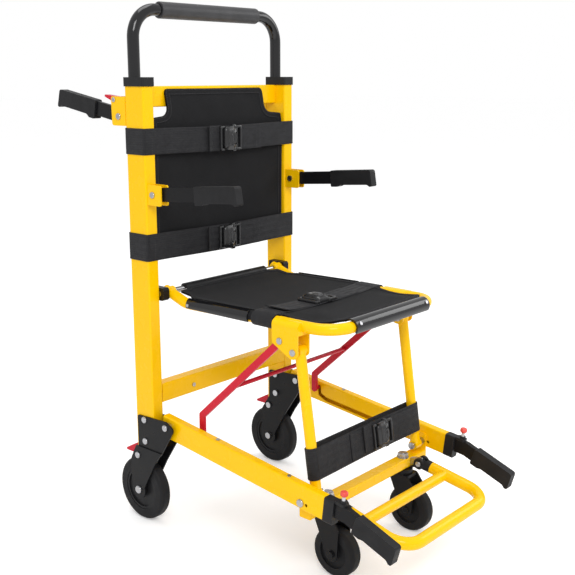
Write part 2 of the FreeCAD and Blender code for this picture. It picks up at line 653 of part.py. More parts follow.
def footrest_hubs():
    """Black hinge ends plugged into the footrest tube."""
    hinge, joint, end = (foot_side(FOOT_PIVOT[0] - back) for back in (0, 22, 60))
    stub = rod(hinge, joint, FOOT_R)
    plug = rod(joint, end, FOOT_R - TUBE_WALL)
    eye = rod_x((FOOT_X - 11, FOOT_X + 11), FOOT_PIVOT, FOOT_R - 0.3)
    shape = fuse([stub, plug, eye])
    fork_gap = box((FOOT_X - 4.3, FOOT_X + 4.3), (FOOT_PIVOT[0] - 14, FOOT_PIVOT[0] + 20), (100, 170))
    return both(cut_all(shape, [fork_gap, rod_x((100, 150), FOOT_PIVOT, 3.0 + FIT)]))


def footrest_lugs():
    """Hinge lugs bolted to the front crossbar, with the hinge pins."""
    y, z = FOOT_PIVOT
    lug = prism("x", [(y - 9, z - 9, 8), (FRONT_BAR_Y[0], z - 14, 0), (FRONT_BAR_Y[0], z + 4, 0),
                      (y - 2, z + 10, 6)], FOOT_X - 4, FOOT_X + 4)
    lug = lug.cut(rod_x((100, 150), FOOT_PIVOT, 3.0))
    pin = bolt_x(FOOT_X - 11.2, FOOT_X + 11.2, FOOT_PIVOT, 3.0, 5.5)
    return both(lug) + both(pin)


# --- seat -----------------------------------------------------------------------------
def seat_path():
    """Centre line of the seat tube, from one hinge eye round the front to the other."""
    y, z = SEAT_PIVOT
    side = [(SIDE_X, y + 9, z + 2), (SIDE_X, y - 10, z - 3), (SIDE_X,) + SEAT_REAR, (SIDE_X,) + SEAT_FRONT]
    return side + [(-x, spot_y, spot_z) for x, spot_y, spot_z in reversed(side)]


def seat_tube(radius):
    points = [V(*point) for point in seat_path()]
    radii = [0, 24, 60, SEAT_CORNER, SEAT_CORNER, 60, 24, 0]
    spine = rounded_wire(points, radii, False)
    ring = Part.Wire(Part.makeCircle(radius, points[0], points[1] - points[0]))
    return spine.makePipeShell([ring], True, False)


def gusset():
    """Channel welded under the side tube that carries the leg and the brace."""
    x0, x1, x2, x3 = GUSSET_X
    front, back = GUSSET_Y
    z_leg = LEG_TOP[1]
    saddle = prism("y", [(x0, 434, 0), (x3, 434, 0), (x3, 456, 10), (x0, 456, 10)], front, back)
    outer = prism("x", [(front, 440, 0), (front, z_leg - 12, 10), (front + 16, z_leg - 12, 10),
                        (back, z_leg + 10, 8), (back, 440, 0)], x2, x3)
    inner = prism("x", [(front, 440, 0), (front, z_leg - 12, 10), (front + 16, z_leg - 12, 10),
                        (back + 22, z_leg + 12, 8), (back + 22, 440, 0)], x0, x1)
    return [saddle, outer, inner]


def seat_frame():
    """Bent tube with hinge eyes and welded gussets."""
    solids = [seat_tube(SEAT_TUBE_R)]
    for piece in gusset():
        solids += both(piece)
    shape = fuse(solids).cut(seat_tube(SEAT_TUBE_R - TUBE_WALL))
    eye = rod_x((SIDE_X - 9.9, SIDE_X + 9.9), SEAT_PIVOT, SEAT_TUBE_R - 0.5)
    shape = fuse([shape] + both(eye))
    holes = []
    for side in (-1, 1):
        span = sorted((side * 130.0, side * 180.0))
        holes.append(rod_x(span, SEAT_PIVOT, ROD_R + FIT))
        holes.append(rod_x(span, LEG_TOP, 4.0))
        holes.append(rod_x(span, LINK_PATH[0], 4.0))
    return cut_all(shape, holes)


def half_sleeve(x, spot, inner, outer, start, sweep):
    """Part ring about an X line: start and sweep in degrees from +Y towards +Z."""
    angle = math.radians(start)
    near = V(0, math.cos(angle), math.sin(angle))
    low, high = V(x[0], *spot), V(x[1], *spot)
    corners = [low + near * inner, high + near * inner, high + near * outer, low + near * outer]
    face = Part.Face(Part.makePolygon(corners + corners[:1]))
    return face.revolve(V(0, *spot), UP_X, sweep)


def seat_side_rails():
    """Half-round clamp strips on the outer side of the side tubes."""
    z0 = SEAT_REAR[1] + (SIDE_RAIL_Y[0] - SEAT_REAR[0]) * seat_slope()
    z1 = SEAT_REAR[1] + (SIDE_RAIL_Y[1] - SEAT_REAR[0]) * seat_slope()
    start, end = V(SIDE_X, SIDE_RAIL_Y[0], z0), V(SIDE_X, SIDE_RAIL_Y[1], z1)
    along = end - start
    outer = Part.makeCylinder(SEAT_TUBE_R + 4.0, along.Length, start, along)
    inner = Part.makeCylinder(SEAT_TUBE_R + 1.4, along.Length, start, along)
    keep = prism("y", [(SIDE_X + 2, z1 + 40, 0), (SIDE_X + 40, z1 + 40, 0), (SIDE_X + 40, z1 - 6, 0),
                       (SIDE_X + 6, z1 - 4, 0)], SIDE_RAIL_Y[0] - 5, SIDE_RAIL_Y[1] + 5)
    return both(outer.cut(inner).common(keep))


def seat_slope():
    """Rise of the side tubes for each millimetre of y."""
    return (SEAT_FRONT[1] - SEAT_REAR[1]) / (SEAT_FRONT[0] - SEAT_REAR[0])


def seat_front_rail():
    return half_sleeve((-107, 107), SEAT_FRONT, SEAT_TUBE_R + 1.4, SEAT_TUBE_R + 4.5, 60, 160)


def seat_rear_sleeve():
    """Half-round sleeve that clamps the sling to the hinge rod."""
    return half_sleeve((-112, 112), SEAT_PIVOT, ROD_R + FIT, ROD_R + 4.0, -40, 210)


def seat_sling():
    """Fabric seat, stretched over the side tubes."""
    slope = seat_slope()
    top_rear = SEAT_REAR[1] + SEAT_TUBE_R
    y0, y1 = SEAT_FRONT[0] + 7.8, -24.0
    z0 = top_rear + (y0 - SEAT_REAR[0]) * slope
    z1 = top_rear + 2.0 + (y1 - SEAT_REAR[0]) * slope
    half = SIDE_X - 1.0
    outline = prism("z", [(-half, y1 - 34, 6), (-112, y1, 4), (112, y1, 4), (half, y1 - 34, 6),
                          (half, y0 + 46, 20), (107, y0, 6), (-107, y0, 6), (-half, y0 + 46, 20)],
                    430, 480)
    slab = prism("x", [(y0, z0 + 0.2, 0), (y1, z1 + 0.2, 0), (y1, z1 + 2.4, 0), (y0, z0 + 2.4, 0)],
                 -half, half)
    return outline.common(slab)


def seat_belt():
    """Lap belt: one loop over the sling and round both side tubes."""
    z = SEAT_REAR[1] + SEAT_TUBE_R + (BELT_Y[0] - SEAT_REAR[0]) * seat_slope() + BELT_LIFT
    outer_x = SIDE_X + SEAT_TUBE_R + 2.0
    over = box((-SIDE_X, SIDE_X), BELT_Y, (z, z + STRAP_T))
    side = box((outer_x, outer_x + STRAP_T), (BELT_Y[0] - 4.6, BELT_Y[1]), (z - 26, z - 6))
    bend = prism("y", [(SIDE_X, z + STRAP_T, 0), (SIDE_X, z, 0), (outer_x, z - 6.5, 0),
                       (outer_x + STRAP_T, z - 6, 0)], BELT_Y[0], BELT_Y[1])
    return fuse([over, bend, mirrored(bend), side, mirrored(side)])


def seat_belt_buckle():
    z = SEAT_REAR[1] + SEAT_TUBE_R + (BELT_Y[0] - SEAT_REAR[0]) * seat_slope() + BELT_LIFT
    z += STRAP_T
    y = sum(BELT_Y) / 2
    body = rounded_bar("z", (-48, 0), (y - 27, y + 27), 8.0, z, z + 11)
    plug = rounded_bar("z", (0.2, 22), (y - 23, y + 23), 4.0, z, z + 9)
    slot = rounded_bar("z", (10, 16), (y - 19, y + 19), 2.0, z - 1, z + 10)
    return [body, plug.cut(slot)]


def seat_bolts():
    """Leg and brace bolts of the gussets and the screws of the clamp strips."""
    x0, x1, x2, x3 = GUSSET_X
    solids = []
    for spot in (LEG_TOP, LINK_PATH[0]):
        solids.append(bolt_x(x3, x0, spot, 4.0, 6.0))
        solids.append(rod_x((x0 - 4, x0), spot, 6.0))
    bush = rod_x((x1, LINK_X[0] - 0.2), LINK_PATH[0], 6.0)
    solids.append(bush.cut(rod_x((130, 170), LINK_PATH[0], 4.0)))
    angle = math.radians(150)
    way = V(0, math.cos(angle), math.sin(angle))
    spot = V(97.6, *SEAT_FRONT) + way * (SEAT_TUBE_R + 4.5)
    solids.append(Part.makeCylinder(3.2, 1.8, spot, way))
    spot = V(SIDE_X + SEAT_TUBE_R + 4.0, SIDE_RAIL_Y[1] - 6, SEAT_REAR[1] + 2)
    solids.append(Part.makeCylinder(3.2, 1.8, spot, UP_X))
    pairs = []
    for solid in solids:
        pairs += both(solid)
    return pairs


# --- braces ----------------------------------------------------------------------------
def brace_links():
    """Red flat links with the pins that run in the rail slots."""
    link = strip(LINK_PATH, LINK_X, LINK_W)
    link = link.cut(rod_x((150, 170), LINK_PATH[0], 4.0 + FIT))
    pin = rod_x((LINK_X[1], RAIL_X[0] - SLACK), LINK_PATH[-1], 3.8)
    return both(fuse([link, pin]))


def brace_crossrod():
    return rod_x((-LINK_X[0], LINK_X[0]), CROSSROD, 4.0)


# --- arm handles ------------------------------------------------------------------------
def arm_bar():
    y, z = ARM_PIVOT
    flat = prism("x", [(y, z - 10.2, 0), (y - 17, z - 12.5, 5), (y - 200, z - 12.5, 0),
                       (y - 200, z + 12.5, 0), (y - 17, z + 12.5, 5), (y, z + 10.2, 0)],
                 ARM_X - 4, ARM_X + 4)
    boss = rod_x((ARM_X - 5.9, ARM_X + 5.9), ARM_PIVOT, 9.0)
    shape = fuse([flat, rod_x((ARM_X - 4, ARM_X + 4), ARM_PIVOT, 10.4), boss])
    return turned(shape.cut(rod_x((170, 200), ARM_PIVOT, 4.0 + FIT)), ARM_PIVOT, -ARM_RISE)


def arm_grip():
    shape = grip(ARM_PIVOT, -106.0, -208.0, ARM_RISE, (ARM_X - 8, ARM_X + 8), 29.0, 3.5)
    return shape.cut(arm_bar())


# --- rear handles -----------------------------------------------------------------------
def rear_handle_bar():
    y, z = REAR_PIVOT
    flat = box((POST_X - 4, POST_X + 4), (y, y + 175), (z - 13, z + 13))
    boss = rod_x((POST_X - 9.2, POST_X + 9.2), REAR_PIVOT, 9.0)
    shape = fuse([flat, rod_x((POST_X - 4, POST_X + 4), REAR_PIVOT, 13.0), boss])
    return turned(shape.cut(rod_x((170, 205), REAR_PIVOT, 4.0 + FIT)), REAR_PIVOT, REAR_RISE)


def rear_grip():
    shape = grip(REAR_PIVOT, 76.0, 190.0, REAR_RISE, (POST_X - 8, POST_X + 8), 30.0, 5.0)
    return shape.cut(rear_handle_bar())


def rear_latch():
    """Red latch lever on top of the rear bracket."""
    y, z = LATCH_PIVOT
    blade = prism("x", [(y - 8, z - 5, 3), (y + 3, z - 5, 1), (y + 5, z - 11.3, 1),
                        (y + 10, z - 9.9, 1), (y + 12, z - 3, 2), (y + 34, z + 5, 1.5),
                        (y + 34, z + 9, 1.5), (y + 4, z + 6, 4), (y - 8, z + 5, 3)],
                  POST_X - 6, POST_X + 6)
    hub = rod_x((POST_X - 6, POST_X + 6), LATCH_PIVOT, 6.0)
    return fuse([blade, hub]).cut(rod_x((170, 205), LATCH_PIVOT, 2.5 + FIT))


# --- nodes ------------------------------------------------------------------------------
def save(name, shape):
    """One STEP file for one node; a list becomes a group of separate solids."""
    solids = shape if isinstance(shape, list) else [shape]
    whole = Part.makeCompound([piece for solid in solids for piece in solid.Solids])
    whole.translate(V(0, CENTRE_SHIFT, 0))
    whole.exportStep("parts/" + name + ".step")
    span = whole.BoundBox
    print(f"{name:22s} solids {len(whole.Solids):2d} valid {whole.isValid()} "
          f"x {span.XMin:7.1f} {span.XMax:7.1f} y {span.YMin:7.1f} {span.YMax:7.1f} "
          f"z {span.ZMin:6.1f} {span.ZMax:6.1f} volume {whole.Volume / 1000:8.1f}")


def save_pair(name, shape):
    """Left piece as modelled and right piece mirrored."""
    solids = shape if isinstance(shape, list) else [shape]
    save(name + "_l", solids)
    save(name + "_r", [mirrored(solid) for solid in solids])


def main():
    os.makedirs("parts", exist_ok=True)
    save_pair("post", posts())
    save("upper_crossbar", crossbar((25, 50), UPPER_BAR_Z))
    save("lower_crossbar", lower_crossbar())
    save("post_caps", both(post_cap()))
    save("back_panel", back_panel())
    save("chest_straps", chest_straps())
    save("chest_buckles", chest_buckles())
    save("wheel_plates", wheel_plates())
    save("seat_brackets", seat_brackets())
    save("arm_brackets", arm_brackets())
    save("rear_handle_brackets", rear_handle_brackets())
    save("frame_bolts", frame_bolts())
    save("seat_rod", seat_rod())
    save("handle_tube", handle_tube())
    save("handle_grip", handle_grip())
    save_pair("rear_tyre", rear_tyre())
    save_pair("rear_hub", rear_hub())
    save_pair("lock_lever", lock_lever())
    save_pair("caster_wheel", caster_wheel())
    save_pair("caster_fork", caster_fork())
    save_pair("rail", rail())
    save("front_crossbar", front_crossbar())
    save("rail_caps", rail_caps())
    save("base_hardware", base_bolts() + footrest_lugs())
    save_pair("pull_pin", pull_pin())
    save_pair("carry_bar", carry_bar())
    save_pair("carry_grip", carry_grip())
    save("legs", legs())
    save("calf_strap", calf_strap())
    save("footrest_tube", footrest_tube())
    save("footrest_hubs", footrest_hubs())
    save("seat_frame", seat_frame())
    save("seat_clamp_rails", seat_side_rails() + [seat_front_rail()])
    save("seat_rear_sleeve", seat_rear_sleeve())
    save("seat_sling", seat_sling())
    save("seat_belt", seat_belt())
    save("seat_belt_buckle", seat_belt_buckle())
    save("seat_bolts", seat_bolts())
    save("brace_links", brace_links())
    save("brace_crossrod", brace_crossrod())
    save_pair("arm_bar", arm_bar())
    save_pair("arm_grip", arm_grip())
    save_pair("rear_handle", rear_handle_bar())
    save_pair("rear_grip", rear_grip())
    save_pair("rear_latch", rear_latch())


main()
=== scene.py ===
import math

import bmesh
import bpy
from mathutils import Euler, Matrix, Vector


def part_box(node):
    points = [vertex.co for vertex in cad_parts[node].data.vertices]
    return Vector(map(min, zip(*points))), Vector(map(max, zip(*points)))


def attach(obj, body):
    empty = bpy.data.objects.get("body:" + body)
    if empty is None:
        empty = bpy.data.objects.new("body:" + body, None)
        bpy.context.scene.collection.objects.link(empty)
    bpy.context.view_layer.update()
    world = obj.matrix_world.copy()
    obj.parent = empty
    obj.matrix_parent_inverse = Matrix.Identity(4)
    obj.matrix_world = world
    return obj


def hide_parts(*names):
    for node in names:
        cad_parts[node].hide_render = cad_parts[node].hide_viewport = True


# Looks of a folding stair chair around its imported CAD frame.  All lengths are in metres.
# +X is the sitter's left, +Y the back, +Z up.  Pieces are worked out with y = 0 at the
# front face of the back posts, and Piece.add moves them to where the posts are.

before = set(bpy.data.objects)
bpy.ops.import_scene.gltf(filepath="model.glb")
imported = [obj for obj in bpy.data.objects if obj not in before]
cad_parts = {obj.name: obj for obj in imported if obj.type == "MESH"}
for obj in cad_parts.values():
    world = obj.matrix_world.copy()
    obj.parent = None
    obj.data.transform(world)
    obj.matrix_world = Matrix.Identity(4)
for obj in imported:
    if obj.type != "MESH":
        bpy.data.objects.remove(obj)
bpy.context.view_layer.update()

MM = 0.001
scene = bpy.context.scene
POST_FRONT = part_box("post_l")[0][1]

# --- sizes that the soft goods share with the frame -----------------------------------
POST_HALF, POST_DEPTH = 0.200, 0.050
CLOTH_T = 0.0018                     # thickness of the cloth
WEB_T, BELT_W = 0.0018, 0.049        # one layer of webbing, and the width of the belts
BOX_STITCH = 0.036                   # side of a sewn square
SEWN_END = 0.062                     # length of a belt's end, folded back and sewn down
POST_GAP = 0.0012                    # from a post's face to the middle of the webbing
CHEST_BOW, CHEST_DIP = 0.0016, 0.0022      # a chest strap's middle stands off and hangs
UPPER_STRAP_Z, LOWER_STRAP_Z = (0.714, 0.761), (0.521, 0.571)
BACK_SHOULDER_Z, BACK_FLAP_X = 0.778, 0.130
TUBE_X, TUBE_R = 0.150, 0.010        # side tubes of the seat
TUBE_REAR, TUBE_FRONT = (-0.045, 0.441), (-0.395, 0.449)
WRAP_REAR, WRAP_LENGTH = -0.066, 0.204     # where the seat cloth is rolled round a tube
BELT_Y = -0.245
BELT_RISE = 0.0016                   # from the seat cloth to the middle of the belt
LEG_X, LEG_R = 0.150, 0.0095
LEG_FOOT, LEG_TOP = (-0.360, 0.157), (-0.322, 0.405)
CALF_RISE, CALF_W = 0.0555, 0.056    # the calf strap's middle above LEG_FOOT, its width
CALF_SLACK = 0.0030                  # how far its front sinks between the legs


# --- materials ------------------------------------------------------------------------
class Look:
    """A procedural material: colour variation, roughness variation and relief."""

    def __init__(self, name, color, rough, metallic=0.0, coat=0.0, sheen=0.0, uv=False,
                 shine=0.5):
        self.material = bpy.data.materials.new(name)
        self.material.use_nodes = True
        self.tree = self.material.node_tree
        self.shader = self.tree.nodes["Principled BSDF"]
        self.color = (*color, 1.0)
        for socket, value in (("Base Color", self.color), ("Roughness", rough),
                              ("Metallic", metallic), ("Coat Weight", coat),
                              ("Coat Roughness", 0.12), ("Sheen Weight", sheen),
                              ("Specular IOR Level", shine),
                              ("Sheen Roughness", 0.45)):
            self.shader.inputs[socket].default_value = value
        coordinates = self.node("ShaderNodeTexCoord")
        self.place = coordinates.outputs["UV" if uv else "Object"]
        self.last_bump = None

    def node(self, kind, **settings):
        made = self.tree.nodes.new(kind)
        for key, value in settings.items():
            setattr(made, key, value)
        return made

    def link(self, out, into):
        self.tree.links.new(out, into)

    def noise(self, size, detail=3.0, stretch=(1, 1, 1)):
        """Noise with features of about size metres."""
        mapping = self.node("ShaderNodeMapping")
        mapping.inputs["Scale"].default_value = stretch
        self.link(self.place, mapping.inputs["Vector"])
        noise = self.node("ShaderNodeTexNoise")
        noise.inputs["Scale"].default_value = 1.0 / size
        noise.inputs["Detail"].default_value = detail
        self.link(mapping.outputs["Vector"], noise.inputs["Vector"])
        return noise.outputs["Fac"]

    def ranged(self, out, low, high, start=0.3, end=0.7):
        spread = self.node("ShaderNodeMapRange")
        for socket, value in (("From Min", start), ("From Max", end),
                              ("To Min", low), ("To Max", high)):
            spread.inputs[socket].default_value = value
        self.link(out, spread.inputs["Value"])
        return spread.outputs["Result"]

    def tint(self, factor, other):
        """Mixes the base colour towards another one by factor."""
        mix = self.node("ShaderNodeMix", data_type="RGBA")
        source = self.shader.inputs["Base Color"]
        if source.is_linked:
            self.link(source.links[0].from_socket, mix.inputs[6])
        else:
            mix.inputs[6].default_value = self.color
        mix.inputs[7].default_value = (*other, 1.0)
        self.link(factor, mix.inputs[0])
        self.link(mix.outputs[2], source)
        return self

    def gloss(self, out, low, high):
        self.link(self.ranged(out, low, high), self.shader.inputs["Roughness"])
        return self

    def relief(self, height, depth):
        """Adds a bump of the given depth in metres."""
        bump = self.node("ShaderNodeBump")
        bump.inputs["Distance"].default_value = depth
        self.link(height, bump.inputs["Height"])
        if self.last_bump:
            self.link(self.last_bump.outputs["Normal"], bump.inputs["Normal"])
        self.link(bump.outputs["Normal"], self.shader.inputs["Normal"])
        self.last_bump = bump
        return self

    def math(self, operation, first, second=None):
        made = self.node("ShaderNodeMath", operation=operation)
        for socket, value in zip(made.inputs, (first, second)):
            if value is None:
                continue
            if isinstance(value, (int, float)):
                socket.default_value = value
            else:
                self.link(value, socket)
        return made.outputs[0]

    def axes(self):
        split = self.node("ShaderNodeSeparateXYZ")
        self.link(self.place, split.inputs[0])
        return split.outputs

    def wave(self, value, pitch):
        """Sine of a length, with one period per pitch."""
        return self.math("SINE", self.math("MULTIPLY", value, 2 * math.pi / pitch))

    def worn_edges(self, color, amount):
        """Lightens the edges, where handling polishes the surface."""
        rounded = self.node("ShaderNodeBevel", samples=3)
        rounded.inputs["Radius"].default_value = 0.0014
        product = self.node("ShaderNodeVectorMath", operation="DOT_PRODUCT")
        self.link(rounded.outputs[0], product.inputs[0])
        self.link(self.node("ShaderNodeNewGeometry").outputs["Normal"], product.inputs[1])
        bend = self.math("SUBTRACT", 1.0, product.outputs["Value"])
        edge = self.math("MULTIPLY", bend, self.noise(0.006))
        return self.tint(self.ranged(edge, 0.0, amount, 0.03, 0.12), color)

    def soft_edges(self, radius):
        """Rounds sharp edges in the shading only."""
        rounded = self.node("ShaderNodeBevel", samples=3)
        rounded.inputs["Radius"].default_value = radius
        self.last_bump = rounded
        return self


def painted(name, color, worn, rough, coat, shine):
    """Powder coat: slight orange peel, faded patches, specks and worn edges."""
    look = Look(name, color, rough, coat=coat, shine=shine)
    look.soft_edges(0.0007)
    look.tint(look.ranged(look.noise(0.09), 0.0, 0.22), tuple(c * 0.86 for c in color))
    look.tint(look.ranged(look.noise(0.0016, 1.0), 0.0, 0.10, 0.66, 0.76), worn)
    look.worn_edges(worn, 0.25)
    look.gloss(look.noise(0.02), rough * 0.8, rough * 1.25)
    look.relief(look.noise(0.0028, 2.0), 0.00006)
    return look.material


def moulded(name, color, rough, grain, depth, pale, shine=0.3, steel_below=None):
    """Moulded plastic or rubber; below the height steel_below it shows a steel shaft."""
    look = Look(name, color, rough, shine=shine)
    look.soft_edges(0.0008)
    look.tint(look.ranged(look.noise(0.03), 0.0, 0.5), pale)
    look.worn_edges(tuple(c * 2.2 for c in pale), 0.5)
    if steel_below:
        shaft = look.math("LESS_THAN", look.axes()[2], steel_below)
        look.tint(shaft, (0.62, 0.62, 0.64))
    look.gloss(look.noise(0.012), rough * 0.85, rough * 1.2)
    look.relief(look.noise(grain, 2.0), depth)
    return look.material


def metal(name, color, rough):
    """Turned or drawn steel with fine marks."""
    look = Look(name, color, rough, metallic=1.0)
    look.tint(look.ranged(look.noise(0.004), 0.0, 0.35), tuple(c * 0.7 for c in color))
    look.gloss(look.noise(0.003), rough * 0.6, rough * 1.6)
    look.relief(look.noise(0.0009, 2.0, (0.1, 1, 1)), 0.00002)
    return look.material


def woven(name, color, pale, pitch, depth):
    """Plain weave on UVs in metres, with slubs and a soft sheen."""
    look = Look(name, color, 0.82, sheen=0.02, uv=True, shine=0.12)
    u, v, _ = look.axes()
    weave = look.math("MULTIPLY", look.wave(u, pitch), look.wave(v, pitch))
    look.tint(look.ranged(weave, 0.0, 0.5, 0.0, 1.0), pale)
    look.tint(look.ranged(look.noise(0.05), 0.0, 0.45), tuple(c * 0.6 for c in color))
    look.tint(look.ranged(look.noise(0.0012, 2.0, (0.15, 1, 1)), 0.0, 0.25), pale)
    look.relief(weave, depth).relief(look.noise(0.02), 0.0006)
    return look.material


def ribbed(name, color, pale):
    """Webbing: a chevron twill across the strap, on UVs (along, across)."""
    look = Look(name, color, 0.62, sheen=0.03, uv=True, shine=0.18)
    u, v, _ = look.axes()
    fold = look.math("PINGPONG", look.math("ADD", v, 1.0), 0.00625)
    twill = look.wave(look.math("ADD", u, fold), 0.0017)
    rib = look.wave(v, 0.0042)
    cloth = look.math("ADD", twill, look.math("MULTIPLY", rib, 0.35))
    look.tint(look.ranged(cloth, 0.0, 0.6, -0.6, 1.2), pale)
    look.tint(look.ranged(look.noise(0.03), 0.0, 0.4), tuple(c * 0.55 for c in color))
    look.gloss(look.noise(0.008), 0.52, 0.72)
    look.relief(cloth, 0.00022).relief(look.noise(0.025), 0.0005)
    return look.material


YELLOW = painted("paint_yellow", (1.0, 0.57, 0.0), (1.0, 0.67, 0.05), 0.25, 0.10, 0.16)
BLACK = painted("paint_black", (0.007, 0.007, 0.008), (0.04, 0.04, 0.044), 0.34, 0.02, 0.17)
LACQUER = painted("lacquer_black", (0.006, 0.006, 0.007), (0.03, 0.03, 0.033), 0.10, 0.0, 0.5)
RED = painted("paint_red", (0.60, 0.012, 0.032), (0.70, 0.07, 0.11), 0.26, 0.10, 0.16)
STEEL = metal("steel_bright", (0.50, 0.50, 0.52), 0.26)
ROD = metal("steel_dark", (0.42, 0.42, 0.43), 0.18)
PLASTIC = moulded("plastic_black", (0.014, 0.014, 0.015), 0.40, 0.0009, 0.00008,
                  (0.022, 0.022, 0.024), 0.2)
GLOSSY = moulded("plastic_glossy", (0.014, 0.014, 0.015), 0.20, 0.004, 0.00004,
                 (0.026, 0.026, 0.028), 0.5)
GRIP = moulded("grip_rubber", (0.011, 0.011, 0.012), 0.48, 0.0011, 0.00016,
               (0.019, 0.019, 0.021), 0.2)
FOAM = moulded("grip_foam", (0.024, 0.024, 0.026), 0.44, 0.0016, 0.00022,
               (0.045, 0.045, 0.048), 0.5)
TYRE = moulded("tyre_rubber", (0.011, 0.011, 0.012), 0.50, 0.0018, 0.00014,
               (0.021, 0.021, 0.023), 0.14)
HUB = moulded("wheel_centre", (0.010, 0.010, 0.011), 0.42, 0.0012, 0.00008,
              (0.019, 0.019, 0.021), 0.18)
KNOB = moulded("knob_red", (0.72, 0.05, 0.04), 0.26, 0.003, 0.00004,
               (0.80, 0.12, 0.09), 0.5, steel_below=0.1915)
FABRIC = woven("fabric_black", (0.011, 0.011, 0.012), (0.026, 0.026, 0.028), 0.0011, 0.00010)
WEBBING = ribbed("webbing_black", (0.016, 0.016, 0.018), (0.052, 0.052, 0.057))
THREAD = woven("thread_black", (0.055, 0.055, 0.06), (0.11, 0.11, 0.115), 0.0006, 0.00006)

NODE_LOOKS = {
    YELLOW: ("post_l", "post_r", "upper_crossbar", "lower_crossbar", "arm_brackets",
             "rear_handle_brackets", "rail_l", "rail_r", "front_crossbar", "legs",
             "footrest_tube", "seat_frame"),
    BLACK: ("wheel_plates", "seat_brackets", "caster_fork_l", "caster_fork_r", "carry_bar_l",
            "carry_bar_r", "arm_bar_l", "arm_bar_r", "rear_handle_l", "rear_handle_r",
            "seat_rear_sleeve"),
    LACQUER: ("handle_tube", "seat_clamp_rails"),
    RED: ("lock_lever_l", "lock_lever_r", "brace_links", "brace_crossrod", "rear_latch_l",
          "rear_latch_r"),
    STEEL: ("frame_bolts", "base_hardware", "seat_bolts"),
    ROD: ("seat_rod",),
    PLASTIC: ("post_caps", "rail_caps", "footrest_hubs"),
    GRIP: ("carry_grip_l", "carry_grip_r", "arm_grip_l", "arm_grip_r", "rear_grip_l",
           "rear_grip_r"),
    FOAM: ("handle_grip",),
    TYRE: ("rear_tyre_l", "rear_tyre_r", "caster_wheel_l", "caster_wheel_r"),
    HUB: ("rear_hub_l", "rear_hub_r"),
    KNOB: ("pull_pin_l", "pull_pin_r"),
}


def dress_nodes():
    """Gives each CAD node its material."""
    for look, names in NODE_LOOKS.items():
        for name in names:
            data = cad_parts[name].data
            data.materials.clear()
            data.materials.append(look)


# --- mesh building --------------------------------------------------------------------
class Piece:
    """Collects solids and sheets into one mesh; cloth and webbing have UVs in metres."""

    def __init__(self):
        self.points, self.faces, self.looks, self.uvs = [], [], [], []

    def add(self, points, faces, look=0, uvs=None):
        """Adds a shape; look is the place of its material in the list given to make."""
        base = len(self.points)
        self.points += [(x, y + POST_FRONT, z) for x, y, z in points]
        self.uvs += uvs or [(point[0], point[2]) for point in points]
        for face in faces:
            self.faces.append([base + index for index in face])
            self.looks.append(look)

    def make(self, name, looks, body, *replaced, slot=None):
        """Makes the object, which rides on body and replaces the named nodes."""
        mesh = bpy.data.meshes.new(name)
        mesh.from_pydata(self.points, [], self.faces)
        layer = mesh.uv_layers.new(name="UVMap")
        for loop in mesh.loops:
            layer.data[loop.index].uv = self.uvs[loop.vertex_index]
        for look in looks:
            mesh.materials.append(look)
        for polygon, look in zip(mesh.polygons, self.looks):
            polygon.material_index = look
            polygon.use_smooth = True
        mesh.set_sharp_from_angle(angle=math.radians(38))
        obj = bpy.data.objects.new(name, mesh)
        scene.collection.objects.link(obj)
        if replaced:
            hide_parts(*replaced)
        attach(obj, body)
        return obj


def arc(centre, radius, start, end, steps=6):
    """Points (a, b) on a circle, from the angle start to the angle end, in degrees."""
    turns = [math.radians(start + (end - start) * k / steps) for k in range(steps + 1)]
    return [(centre[0] + radius * math.cos(turn), centre[1] + radius * math.sin(turn))
            for turn in turns]


def outline(corners, inset=0.0, steps=5, pitch=0.012):
    """Closed outline with corners (a, b, radius), moved inwards by inset.

    The number of points doesn't depend on inset, so two outlines can be bridged.
    """
    base = [Vector(corner[:2]) for corner in corners]
    count = len(base)
    twice_area = sum(base[i - 1].cross(base[i]) for i in range(count))
    sign = math.copysign(1.0, twice_area)
    moved = []
    for i, here in enumerate(base):
        before = (here - base[i - 1]).normalized()
        after = (base[(i + 1) % count] - here).normalized()
        inward = [Vector((-way.y, way.x)) * sign for way in (before, after)]
        mitre = (inward[0] + inward[1]).normalized()
        spot = here + mitre * (inset / mitre.dot(inward[0]))
        turn = before.cross(after) * sign
        radius = corners[i][2] - inset * math.copysign(1.0, turn)
        moved.append((spot, max(radius, 0.0003)))
    arcs = []
    for i, (here, radius) in enumerate(moved):
        back = (moved[i - 1][0] - here).normalized()
        ahead = (moved[(i + 1) % count][0] - here).normalized()
        half = back.angle(ahead) / 2
        centre = here + (back + ahead).normalized() * (radius / math.sin(half))
        first = here + back * (radius / math.tan(half)) - centre
        last = here + ahead * (radius / math.tan(half)) - centre
        start = math.atan2(first.y, first.x)
        sweep = math.atan2(first.cross(last), first.dot(last)) / steps
        turns = [start + sweep * k for k in range(steps + 1)]
        arcs.append([centre + Vector((math.cos(a), math.sin(a))) * radius for a in turns])
    points = []
    for i, arc in enumerate(arcs):
        points += arc
        following = arcs[(i + 1) % count][0]
        pieces = max(1, round((base[(i + 1) % count] - base[i]).length / pitch))
        points += [arc[-1].lerp(following, k / pieces) for k in range(1, pieces)]
    return points


def bridge(rings, size):
    """Faces between the closed rings, which have size points each."""
    faces = []
    for k in range(rings - 1):
        for i in range(size):
            j = (i + 1) % size
            faces.append([k * size + i, k * size + j, (k + 1) * size + j, (k + 1) * size + i])
    return faces


